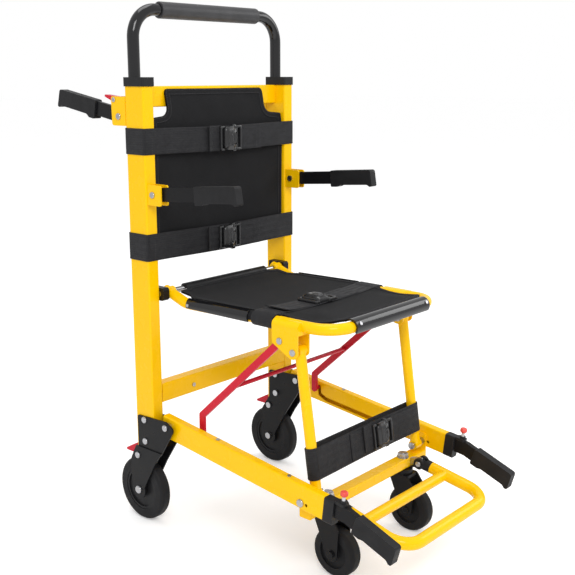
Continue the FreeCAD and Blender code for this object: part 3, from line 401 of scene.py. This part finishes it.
def pillow(piece, corners, levels, place):
    """Stack of outlines (inset, height) with closed ends; place maps (a, b, height)."""
    rings = [outline(corners, inset, pitch=8.0) for inset, height in levels]
    points = [place(p.x, p.y, height) for (inset, height), ring in zip(levels, rings)
              for p in ring]
    flat = [(p.x, p.y) for ring in rings for p in ring]
    size = len(rings[0])
    faces = bridge(len(rings), size)
    faces.append(list(range(size))[::-1])
    top = (len(rings) - 1) * size
    faces.append(list(range(top, top + size)))
    piece.add(points, faces, 0, flat)


def ribbon(piece, path, across, width, thick=WEB_T, closed=False, flip=1.0):
    """Webbing along path; across is its width direction and its edges are rounded."""
    spots = [Vector(point) for point in path]
    count = len(spots)
    across = Vector(across).normalized()
    half, edge = width / 2, thick * 0.9
    section = [(-half, 0.0), (-half + edge * 0.3, 0.38), (-half + edge, 0.56),
               (-half + 3 * edge, 0.46), (-half * 0.4, 0.5), (half * 0.4, 0.5),
               (half - 3 * edge, 0.46), (half - edge, 0.56), (half - edge * 0.3, 0.38),
               (half, 0.0)]
    section += [(v, -w) for v, w in section[-2:0:-1]]
    verts, uvs, run = [], [], 0.0
    for i, spot in enumerate(spots):
        before = spots[i - 1] if i or closed else spot
        after = spots[(i + 1) % count] if i < count - 1 or closed else spot
        along = (after - before).normalized()
        normal = along.cross(across).normalized() * flip
        run += (spot - spots[i - 1]).length if i else 0.0
        for v, w in section:
            verts.append(spot + across * v + normal * (w * thick))
            uvs.append((run, v))
    size = len(section)
    faces = bridge(count, size)
    if closed:
        last = (count - 1) * size
        faces += [[last + i, last + (i + 1) % size, (i + 1) % size, i] for i in range(size)]
    else:
        faces += [list(range(size))[::-1], list(range(len(verts) - size, len(verts)))]
    piece.add(verts, faces, 0, uvs)


def stitches(piece, path, normal, pitch=0.0042, length=0.0030, radius=0.00042):
    """A row of separate stitches along path, standing proud towards normal."""
    spots, up = [Vector(point) for point in path], Vector(normal).normalized()
    run, goal = 0.0, pitch / 2
    for start, end in zip(spots, spots[1:]):
        leg = end - start
        if leg.length < 1e-6:
            continue
        way = leg.normalized()
        while goal < run + leg.length:
            middle = start + way * (goal - run)
            side = way.cross(up).normalized()
            tip = way * (length / 2)
            ring = [up * radius, side * radius * 1.2, up * -radius, side * radius * -1.2]
            verts = [middle - tip - up * radius]
            verts += [middle - tip * 0.55 + offset for offset in ring]
            verts += [middle + tip * 0.55 + offset for offset in ring]
            verts.append(middle + tip - up * radius)
            faces = [[0, 1 + (i + 1) % 4, 1 + i] for i in range(4)]
            faces += [[1 + i, 1 + (i + 1) % 4, 5 + (i + 1) % 4, 5 + i] for i in range(4)]
            faces += [[9, 5 + i, 5 + (i + 1) % 4] for i in range(4)]
            piece.add(verts, faces, 1)
            goal += pitch
        run += leg.length


def box_stitch(piece, centre, along, across, normal, length, width):
    """The sewn rectangle with a cross that holds a loop of webbing."""
    centre, along, across = Vector(centre), Vector(along), Vector(across)
    a, b = along * (length / 2), across * (width / 2)
    corners = [centre - a - b, centre + a - b, centre + a + b, centre - a + b]
    stitches(piece, corners + corners[:1], normal)
    stitches(piece, [corners[0], corners[2]], normal)
    stitches(piece, [corners[1], corners[3]], normal)


def cloth(corners, lay, hem, thick=CLOTH_T, pitch=0.012):
    """Fabric cut to a rounded outline on lay(a, b, height), with a turned and sewn hem."""
    mesh = bmesh.new()
    rim = [mesh.verts.new((point.x, point.y, 0)) for point in outline(corners, 0, 5, pitch)]
    mesh.faces.new(rim)
    spans = [(min(c[axis] for c in corners), max(c[axis] for c in corners)) for axis in (0, 1)]
    for axis, (low, high) in enumerate(spans):
        normal = Vector((1, 0, 0)) if axis == 0 else Vector((0, 1, 0))
        cuts = int((high - low) / pitch)
        for k in range(1, cuts):
            spot = normal * (low + (high - low) * k / cuts)
            everything = mesh.verts[:] + mesh.edges[:] + mesh.faces[:]
            bmesh.ops.bisect_plane(mesh, geom=everything, dist=1e-6, plane_co=spot,
                                   plane_no=normal)
    mesh.verts.index_update()
    flat = [(vert.co.x, vert.co.y) for vert in mesh.verts]
    faces = [[vert.index for vert in face.verts] for face in mesh.faces]
    edge = [[v.index for v in e.verts] for e in mesh.edges if len(e.link_faces) == 1]
    mesh.free()
    piece = Piece()
    size = len(flat)
    top = [lay(a, b, thick / 2) for a, b in flat]
    low = [lay(a, b, -thick / 2) for a, b in flat]
    walls = [[i, j, j + size, i + size] for i, j in edge]
    under = [[i + size for i in face][::-1] for face in faces]
    piece.add(top + low, faces + under + walls, 0, flat + flat)
    levels = [(0.0, 0.0), (0.0, thick * 0.9), (0.0008, thick * 1.15), (hem - 0.0015, thick * 1.1),
              (hem, thick * 0.45)]
    for side in (1, -1):
        rings = [outline(corners, inset, 5, pitch) for inset, height in levels]
        points = [lay(p.x, p.y, side * height)
                  for (inset, height), ring in zip(levels, rings) for p in ring]
        piece.add(points, bridge(len(rings), len(rings[0])), 0,
                  [(p.y, p.x) for ring in rings for p in ring])
    for inset in (0.0022, hem - 0.0026):
        ring = outline(corners, inset, 5, pitch)
        for side in (1, -1):
            path = [lay(p.x, p.y, side * thick * 1.25) for p in ring + ring[:1]]
            way = Vector(lay(0, corners[0][1], side)) - Vector(lay(0, corners[0][1], 0))
            stitches(piece, path, way)
    return piece


# --- buckles --------------------------------------------------------------------------
BUCKLE_SHARE = 0.80      # length of this buckle against its drawn outline


def buckle(centre, along, across):
    """Side-release buckle: crowned body, prong tabs at its sides, plug frame and bars.

    centre is on the face of the webbing, along points to the plug end, and the numbers
    below are in millimetres.
    """
    centre = Vector(centre)
    along, across = Vector(along).normalized(), Vector(across).normalized()
    out = along.cross(across).normalized()
    piece = Piece()

    def place(a, b, height):
        return centre + (along * a * BUCKLE_SHARE + across * b + out * height) * MM

    def block(corners, height, edge, crown=0.0, base=0.6):
        """Block from base up to height with a rounded edge and a crowned top."""
        levels = [(0, base), (0, height - edge), (edge * 0.3, height - edge * 0.35), (edge, height)]
        if crown:
            levels += [(edge + 3, height + crown * 0.6), (edge + 7, height + crown)]
        pillow(piece, corners, levels, place)

    shell = [(-25, -22, 10), (4, -24, 5), (8, -18.5, 3), (14, -18.5, 2), (16.5, -14, 2),
             (16.5, 14, 2), (14, 18.5, 2), (8, 18.5, 3), (4, 24, 5), (-25, 22, 10)]
    block(shell, 10.4, 3.4, 3.0)
    thumb = [(-8, -12, 9), (9, -12, 9), (9, 12, 9), (-8, 12, 9)]
    pillow(piece, thumb, [(0, 12.4), (0.8, 14.1), (2.6, 14.6), (5, 14.0)], place)
    for side in (-1, 1):
        b0, b1 = sorted((side * 17.5, side * 26.0))
        block([(4.5, b0, 2), (15.5, b0, 2), (15.5, b1, 3.6), (4.5, b1, 3.6)], 8.0, 2.4)
        b0, b1 = sorted((side * 18.5, side * 23.5))
        block([(16, b0, 1.5), (36, b0, 1.5), (36, b1, 2.4), (16, b1, 2.4)], 6.6, 1.8)
        block([(-35, b0, 1.5), (-23, b0, 1.5), (-23, b1, 1.6), (-35, b1, 2.4)], 7.0, 1.8)
    block([(17, -20, 1), (22.5, -20, 1), (22.5, 20, 1), (17, 20, 1)], 6.0, 1.6, 0, 2.2)
    block([(30.5, -22, 2), (36.5, -22, 2.4), (36.5, 22, 2.4), (30.5, 22, 2)], 6.8, 1.8, 0, 2.4)
    block([(-36, -22, 2.4), (-31, -22, 2), (-31, 22, 2), (-36, 22, 2.4)], 7.4, 1.8, 0, 2.4)
    for a in (-18, -14.5):
        ridge = [(a, -15, 0.7), (a + 1.8, -15, 0.7), (a + 1.8, 15, 0.7), (a, 15, 0.7)]
        block(ridge, 13.8, 0.6, 0, 10.0)
    return piece


# --- chest straps ---------------------------------------------------------------------
def strap_loop(bow):
    """Loop round both posts; bow(x) pushes its front run outwards."""
    half, back, corner = POST_HALF + POST_GAP, POST_DEPTH + POST_GAP, 0.004
    front = -POST_GAP
    path = [(-half + corner + (2 * half - 2 * corner) * k / 60, front) for k in range(61)]
    path = [(x, y - bow(x)) for x, y in path]
    path += arc((half - corner, front + corner), corner, -75, 0)
    path += arc((half - corner, back - corner), corner, 0, 90)
    path += [(half - corner - (2 * half - 2 * corner) * k / 30, back) for k in range(1, 30)]
    path += arc((-half + corner, back - corner), corner, 90, 180)
    path += arc((-half + corner, front + corner), corner, 180, 255)
    return path


def chest_strap(name, z, buckle_x):
    """Webbing loop between the heights z, its sewn end, its free tail and its buckle."""
    middle = (z[0] + z[1]) / 2

    def bow(x):
        return CHEST_BOW * math.cos(math.pi * x / (2 * POST_HALF)) ** 2

    def dip(x):
        return -CHEST_DIP * math.cos(math.pi * x / (2 * POST_HALF)) ** 2

    def face(x, layer):
        """Depth of a layer of webbing; layer 0 is the loop itself."""
        return -POST_GAP - bow(x) - WEB_T * (layer + 0.06)

    piece = Piece()
    loop = [(x, y, middle + dip(x) * (1 if y < 0.01 else 0.3)) for x, y in strap_loop(bow)]
    ribbon(piece, loop, (0, 0, 1), z[1] - z[0], closed=True)
    start = buckle_x + 0.027
    sewn = [(start + SEWN_END * k / 8, face(start, 1), middle + dip(start)) for k in range(9)]
    ribbon(piece, sewn, (0, 0, 1), BELT_W - 0.0015)
    tail = []
    for k in range(9):
        x = buckle_x - 0.024 - 0.034 * k / 8
        lift = 0.0022 * max(0.0, k / 8 - 0.5) ** 2 * 8
        tail.append((x, face(x, 1) - lift, middle + dip(x) + 0.0006))
    ribbon(piece, tail, (0, 0, 1), BELT_W - 0.001, flip=-1.0)
    out = (0, -1, 0)
    box_stitch(piece, (start + 0.030, face(start, 1.5), middle + dip(start)),
               (1, 0, 0), (0, 0, 1), out, BOX_STITCH, BOX_STITCH)
    end, tip, seam = start + 0.058, buckle_x - 0.054, POST_HALF - 0.016
    rows = [(end, face(start, 1.5), 0.021, 0.019), (tip, face(tip, 1.9), 0.021, 0.020),
            (-seam, face(-seam, 0.5), 0.022, 0.022), (seam, face(seam, 0.5), 0.022, 0.022)]
    for x, y, below, above in rows:
        stitches(piece, [(x, y, middle - below), (x, y, middle + above)], out)
    piece.make(name, [WEBBING, THREAD], "back_frame", slot="webbing")
    spot = (buckle_x, face(buckle_x, 0.55), middle + dip(buckle_x))
    made = buckle(spot, (1, 0, 0), (0, 0, 1))
    made.make(name + "_buckle", [GLOSSY], "back_frame", slot="black_plastic")


# --- back panel -----------------------------------------------------------------------
def back_panel():
    """Cloth back, a little slack between the posts, with a flap over the crossbar."""
    low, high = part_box("back_panel")
    half, bottom, top = high[0] - 0.0005, low[2], high[2]
    shoulder, flap = BACK_SHOULDER_Z, BACK_FLAP_X
    corners = [(-half, bottom, 0.004), (half, bottom, 0.004), (half, shoulder, 0.004),
               (flap, shoulder + 0.004, 0.016), (flap, top, 0.008), (-flap, top, 0.008),
               (-flap, shoulder + 0.004, 0.016), (-half, shoulder, 0.004)]

    def lay(a, b, height):
        lean = 0.014 * max(0.0, (b - 0.748) / 0.081) ** 1.5
        tug = 0.0016 * math.sin(a * 31 + 1.3) * math.sin((b - bottom) * 22)
        sides = 0.0035 * (1 - (a / half) ** 2)
        return (a, 0.0085 + lean + tug + sides - height, b)

    piece = cloth(corners, lay, hem=0.012)
    made = piece.make("back_cloth", [FABRIC, THREAD], "back_frame", "back_panel", slot="fabric")


# --- seat -----------------------------------------------------------------------------
SEAT_SLOPE = (TUBE_FRONT[1] - TUBE_REAR[1]) / (TUBE_FRONT[0] - TUBE_REAR[0])


def tube_height(y):
    """Centre line height of the side tubes of the seat."""
    return TUBE_REAR[1] + (y - TUBE_REAR[0]) * SEAT_SLOPE


def sling_height(x, y):
    """Upper face of the seat cloth: a sitter's dip, and a fall at its front corners."""
    across = max(0.0, 1 - (x / 0.149) ** 2)
    along = max(0.0, 1 - ((y + 0.205) / 0.185) ** 2)
    rise = 0.007 * max(0.0, (y + 0.050) / 0.045)
    edge = min(1.0, max(0.0, (abs(x) - 0.095) / 0.040))
    corner = edge * math.sin(math.pi * min(1.0, max(0.0, (-0.268 - y) / 0.112)))
    return tube_height(y) + TUBE_R + 0.0018 + rise - 0.0065 * (across * along + corner)


def seat_cloth():
    """Cloth seat from the hinge rod to the front strip, rolled over the side tubes."""
    rear, front = -0.0055, TUBE_FRONT[0] + 0.0095
    side = [(0.112, rear, 0.003), (0.117, -0.012, 0.003), (0.1365, -0.014, 0.004),
            (0.1365, -0.042, 0.005), (0.1475, -0.060, 0.004), (0.1475, -0.270, 0.004),
            (0.1385, -0.277, 0.003), (0.1385, -0.346, 0.016), (0.1325, -0.371, 0.016),
            (0.106, front, 0.004)]
    corners = [(-x, y, radius) for x, y, radius in side[::-1]]
    corners = [(x, y, radius) for x, y, radius in side] + corners

    def lay(a, b, height):
        return (a, b, sling_height(a, b) + height - 0.001)

    piece = cloth(corners, lay, hem=0.011)
    wrap(piece, 1)
    wrap(piece, -1)
    made = piece.make("seat_cloth", [FABRIC, THREAD], "seat", "seat_sling", slot="fabric")


def wrap(piece, side):
    """The edge of the seat cloth, rolled over a side tube and under its clamp strip."""
    stations = [WRAP_REAR - WRAP_LENGTH * k / 16 for k in range(17)]
    points, uvs = [], []
    angles = [94 - 112 * k / 10 for k in range(11)]
    for y in stations:
        for radius in (TUBE_R + 0.0012, TUBE_R + 0.0003):
            for angle in angles:
                spread = math.radians(angle)
                points.append((side * (TUBE_X + radius * math.cos(spread)), y,
                               tube_height(y) + radius * math.sin(spread)))
                uvs.append((radius * spread, y))
    size = len(angles)
    faces = []
    for k in range(len(stations) - 1):
        for layer in (0, 1):
            for i in range(size - 1):
                first = (2 * k + layer) * size + i
                face = [first, first + 1, first + 2 * size + 1, first + 2 * size]
                faces.append(face if (layer == 0) == (side > 0) else face[::-1])
        for i in (0, size - 1):
            first = 2 * k * size + i
            faces.append([first, first + size, first + 3 * size, first + 2 * size])
    for k in (0, len(stations) - 1):
        for i in range(size - 1):
            first = 2 * k * size + i
            faces.append([first, first + 1, first + size + 1, first + size])
    piece.add(points, faces, 0, uvs)


def seat_belt():
    """Lap belt over the seat cloth, taken round each side tube and sewn."""
    piece = Piece()
    grip = TUBE_R + 0.0025

    def under(side):
        """Points round a side tube, from its top to the inner side below it."""
        z = tube_height(BELT_Y)
        bend = arc((TUBE_X, z), grip, 88, -118, 14)
        return [(side * x, BELT_Y, height) for x, height in bend]

    def surface(x):
        lift = 0.002 * math.exp(-((x + 0.01) / 0.04) ** 2)     # raised by the buckle
        return (x, BELT_Y, sling_height(x, BELT_Y) + BELT_RISE + lift)

    def raised(x, layer):
        """Height of a layer of webbing; layer 0 is the belt itself."""
        return sling_height(x, BELT_Y) + BELT_RISE + WEB_T * (layer + 0.06)

    middle = [surface(-0.143 + 0.286 * k / 44) for k in range(45)]
    path = under(-1)[::-1] + middle + under(1)
    ribbon(piece, path, (0, 1, 0), BELT_W)
    start = 0.020
    places = [start + SEWN_END * k / 8 for k in range(9)]
    sewn = [(x, BELT_Y, raised(x, 1)) for x in places]
    ribbon(piece, sewn, (0, 1, 0), BELT_W - 0.0015)
    tail = []
    for k in range(15):
        x = -0.046 - 0.080 * k / 14
        lift = 0.0025 * max(0.0, k / 14 - 0.6) ** 2 * 8
        tail.append((x, BELT_Y + 0.0008, raised(x, 1) + lift))
    ribbon(piece, tail, (0, 1, 0), BELT_W - 0.001, flip=-1.0)
    box_stitch(piece, (start + 0.030, BELT_Y, raised(start + 0.030, 1.5)), (1, 0, 0), (0, 1, 0),
               (0, 0, 1), BOX_STITCH, BOX_STITCH)
    for x, layer in ((start + 0.058, 1.5), (-0.122, 1.9)):
        spot = raised(x, layer)
        stitches(piece, [(x, BELT_Y - 0.021, spot), (x, BELT_Y + 0.021, spot)], (0, 0, 1))
    for side in (-1, 1):
        x = side * (TUBE_X - 0.014)
        box_stitch(piece, (x, BELT_Y, raised(x, 0.5)), (1, 0, 0), (0, 1, 0), (0, 0, 1),
                   0.014, 0.040)
    piece.make("lap_belt", [WEBBING, THREAD], "seat", "seat_belt", slot="webbing")
    made = buckle((-0.013, BELT_Y, raised(-0.013, 0.6)), (1, 0, 0), (0, 1, 0))
    made.make("lap_belt_buckle", [GLOSSY], "seat", "seat_belt_buckle", slot="black_plastic")


# --- calf strap -----------------------------------------------------------------------
def calf_strap():
    """Wide band round both legs, with its buckle towards the sitter's left."""
    foot, top = Vector((0, *LEG_FOOT)), Vector((0, *LEG_TOP))
    up = (top - foot).normalized()
    out = Vector((1, 0, 0)).cross(up)
    out = out if out.y < 0 else -out
    centre = foot + up * CALF_RISE
    reach = LEG_R + 0.0013

    def spot(x, depth, rise=0.0):
        """Point at x, at depth in front of the legs' plane and rise up along the legs."""
        return centre + Vector((x, 0, 0)) + out * depth + up * rise

    def slack(x):
        return -CALF_SLACK * math.cos(math.pi * x / (2 * LEG_X)) ** 2

    def front(x, layer):
        """Distance of a layer of webbing from the legs' plane; layer 0 is the band."""
        return reach + slack(x) + 0.0011 + WEB_T * (layer - 0.5)

    places = [-LEG_X + 2 * LEG_X * k / 50 for k in range(51)]
    path = [spot(x, reach + slack(x)) for x in places]
    path += [spot(LEG_X + x, depth) for x, depth in arc((0, 0), reach, 80, -80, 12)]
    path += [spot(LEG_X - 2 * LEG_X * k / 30, -reach) for k in range(31)]
    path += [spot(-LEG_X + x, depth) for x, depth in arc((0, 0), reach, -100, -260, 12)]
    piece = Piece()
    ribbon(piece, path, up, CALF_W, 0.0022, closed=True)

    def strip(x0, x1, layer, wide, rise=0.0, lift=0.0):
        steps = 12
        points = []
        for k in range(steps + 1):
            x = x0 + (x1 - x0) * k / steps
            points.append(spot(x, front(x, layer) + lift * (k / steps) ** 3, rise))
        ribbon(piece, points, up, wide)

    strip(-0.058, 0.012, 1, 0.050)
    strip(0.062, 0.132, 1, 0.048)
    strip(0.004, -0.022, 2, 0.048, 0.004, 0.002)
    seams = [(-0.061, 0.6), (-0.053, 1.6), (0.126, 1.6), (0.084, 1.6), (-0.138, 0.6),
             (-0.120, 0.6), (0.140, 0.6)]
    for x, layer in seams:
        line = [spot(x, front(x, layer), -0.023), spot(x, front(x, layer), 0.023)]
        stitches(piece, line, out)
    places = [-0.140 + 0.011 * k for k in range(10)]
    for rise in (-0.0245, 0.0245):
        line = [spot(x, front(x, 0.6), rise) for x in places]
        stitches(piece, line, out)
    box_stitch(piece, spot(0.104, front(0.104, 1.6)), (1, 0, 0), up, out, 0.030, 0.036)
    piece.make("calf_band", [WEBBING, THREAD], "leg_frame", "calf_strap", slot="webbing")
    across = -up if Vector((1, 0, 0)).cross(up).dot(out) < 0 else up     # it faces outwards
    made = buckle(spot(0.034, front(0.034, 0.6)), (1, 0, 0), across)
    made.make("calf_band_buckle", [GLOSSY], "leg_frame", slot="black_plastic")


# --- stage ----------------------------------------------------------------------------
def camera_only(tree, usual, seen, socket):
    """Gives a strength the value seen to camera rays and the value usual to the others."""
    level = tree.nodes.new("ShaderNodeMapRange")
    level.inputs["To Min"].default_value = usual
    level.inputs["To Max"].default_value = seen
    ray = tree.nodes.new("ShaderNodeLightPath").outputs["Is Camera Ray"]
    tree.links.new(ray, level.inputs["Value"])
    tree.links.new(level.outputs["Result"], socket)


def stage():
    """White floor and world."""
    paper = bpy.data.materials.new("paper")
    paper.use_nodes = True
    shader = paper.node_tree.nodes["Principled BSDF"]
    shader.inputs["Base Color"].default_value = (0.93, 0.93, 0.93, 1)
    shader.inputs["Roughness"].default_value = 0.9
    shader.inputs["Emission Color"].default_value = (1, 1, 1, 1)
    camera_only(paper.node_tree, 0.0, 0.25, shader.inputs["Emission Strength"])
    bpy.ops.mesh.primitive_plane_add(size=60, location=(0, 0, -0.0005))
    floor = bpy.context.object
    floor.name = "floor"
    floor.data.materials.append(paper)
    world = bpy.data.worlds.new("studio")
    world.use_nodes = True
    tree = world.node_tree
    tree.nodes["Background"].inputs["Color"].default_value = (1, 1, 1, 1)
    camera_only(tree, 0.80, 1.0, tree.nodes["Background"].inputs["Strength"])
    scene.world = world


def soft_light(name, spot, target, size, watts):
    """Square lamp at spot, turned to target."""
    data = bpy.data.lights.new(name, "AREA")
    data.energy, data.size = watts, size
    lamp = bpy.data.objects.new(name, data)
    lamp.location = spot
    lamp.rotation_euler = (Vector(target) - Vector(spot)).to_track_quat("-Z", "Y").to_euler()
    scene.collection.objects.link(lamp)


def camera():
    """View of the chair from the sitter's front right, above the seat."""
    data = bpy.data.cameras.new("camera")
    data.lens, data.sensor_width = 58.7, 36.0
    eye = bpy.data.objects.new("camera", data)
    eye.location = (-1.294, -1.298 + POST_FRONT, 0.854)
    eye.rotation_euler = Euler([math.radians(a) for a in (77.22, 0.0, -48.73)])
    scene.collection.objects.link(eye)
    scene.camera = eye


dress_nodes()
back_panel()
chest_strap("chest_strap_upper", UPPER_STRAP_Z, 0.010)
chest_strap("chest_strap_lower", LOWER_STRAP_Z, 0.004)
seat_cloth()
seat_belt()
calf_strap()
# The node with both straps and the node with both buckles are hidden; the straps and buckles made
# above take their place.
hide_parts("chest_straps")
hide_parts("chest_buckles")

stage()
soft_light("key", (-1.7, -2.2, 2.5), (0, 0, 0.5), 1.3, 46)
soft_light("side", (2.4, -1.2, 1.8), (0, 0, 0.5), 1.2, 14)
soft_light("top", (0.2, 0.4, 3.2), (0, 0, 0.4), 1.6, 24)
camera()
scene.view_settings.view_transform = "Standard"
